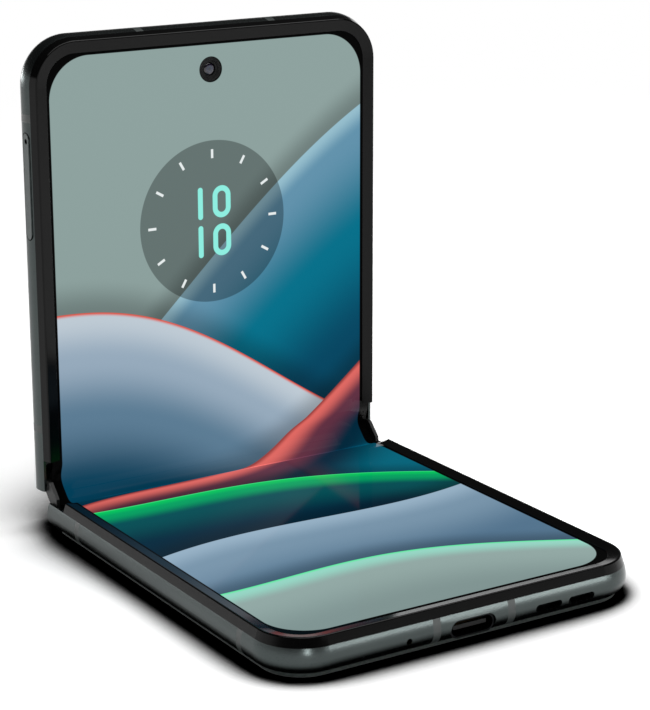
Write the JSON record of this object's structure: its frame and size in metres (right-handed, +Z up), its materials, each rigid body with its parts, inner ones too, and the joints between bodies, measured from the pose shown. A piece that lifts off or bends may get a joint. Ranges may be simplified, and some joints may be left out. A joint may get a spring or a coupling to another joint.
{
  "type": "foldable smartphone",
  "caption": "Clamshell folding phone with one bending display across two slim halves, a double-axis hinge in a round spine, side keys, a card tray and a charging socket.",
  "frame": {"origin": "centre of the lower half's back, on the surface that the phone rests on", "axes": "+X across the phone and along its fold axes, to the side with the keys; -Y to the end with the charging socket; +Z up, away from the back of the lower half"},
  "size_m": [0.0743, 0.0938, 0.0927],
  "materials": {
    "frame_metal": "satin anodised, dark grey-green",
    "antenna_band": "matte",
    "rim": "gloss black",
    "display": "glossy film over a lit panel",
    "steel_plate": "matte steel",
    "tape": "black foam tape",
    "back_cover": "soft matte grain",
    "cover_glass": "polished black glass",
    "battery": "dull black wrap",
    "board": "solder mask",
    "shield": "plain tinned steel",
    "socket_steel": "drawn steel",
    "black_plastic": "moulded black",
    "lens": "coated lens glass",
    "ring_metal": "turned and anodised",
    "flash": "clear ribbed plastic",
    "gold_contact": "plated",
    "spine_metal": "satin, dark grey-green",
    "hinge_steel": "machined, lightly oiled",
    "flex": "polyimide film",
    "key_metal": "satin anodised"
  },
  "bodies": {
    "lower_half": {"lower_frame": "frame_metal", "lower_antenna_bands": "antenna_band", "lower_rim": "rim", "lower_display_plate": "steel_plate", "display_lower": "display", "lower_back_tape": "tape", "lower_back_cover": "back_cover", "lower_battery": "battery", "charge_board": "board", "usb_shell": "socket_steel", "usb_tongue": "black_plastic", "loudspeaker": "black_plastic", "speaker_mesh": "steel_plate", "bottom_microphone": "gold_contact", "haptic_motor": "steel_plate", "lower_screws": "hinge_steel", "lower_hinge_arms": "hinge_steel"},
    "hinge_spine": {"spine_cover": "spine_metal", "hinge_bracket_left": "hinge_steel", "hinge_bracket_right": "hinge_steel", "spine_end_caps": "black_plastic", "display_fold": "display", "hinge_flex_cable": "flex"},
    "upper_half": {"upper_frame": "frame_metal", "upper_antenna_bands": "antenna_band", "upper_rim": "rim", "upper_display_plate": "steel_plate", "display_upper": "display", "upper_back_tape": "tape", "upper_back_cover": "back_cover", "cover_glass": "cover_glass", "cover_display": "display", "rear_camera_rings": "ring_metal", "rear_camera_lenses": "lens", "rear_camera_modules": "black_plastic", "flash_lens": "flash", "upper_battery": "battery", "main_board": "board", "shield_cans": "shield", "front_camera": "black_plastic", "front_camera_lens": "lens", "earpiece": "black_plastic", "side_key_switches": "gold_contact", "card_reader": "shield", "upper_screws": "hinge_steel", "upper_hinge_arms": "hinge_steel"},
    "power_key": {"power_key": "key_metal"},
    "volume_key": {"volume_key": "key_metal"},
    "card_tray": {"card_tray": "key_metal"}
  },
  "joints": [
    {"name": "spine_fold", "type": "hinge", "parent": "lower_half", "child": "hinge_spine", "pos_m": [0, 0.0417, 0.0068], "axis": [1, 0, 0], "range_deg": [-45, 45.25], "deforming": ["display_fold", "hinge_flex_cable"]},
    {"name": "upper_fold", "type": "hinge", "parent": "hinge_spine", "child": "upper_half", "pos_m": [0, 0.04326, 0.00836], "axis": [1, 0, 0], "range_deg": [-45, 45.25]},
    {"name": "power_press", "type": "slide", "parent": "upper_half", "child": "power_key", "axis": [-1, 0, 0], "range_m": [0, 0.00025], "stiffness_N_per_m": 3000, "springref_m": -0.0003},
    {"name": "volume_rock", "type": "hinge", "parent": "upper_half", "child": "volume_key", "pos_m": [0.0348, 0.04606, 0.06586], "axis": [0, 1, 0], "range_deg": [-1.2, 1.2], "stiffness_Nm_per_rad": 0.5},
    {"name": "tray_slide", "type": "slide", "parent": "upper_half", "child": "card_tray", "axis": [-1, 0, 0], "range_m": [0, 0.0125]}
  ],
  "couplings": [
    {"joint": "upper_fold", "follows": "spine_fold", "ratio": 1}
  ]
}
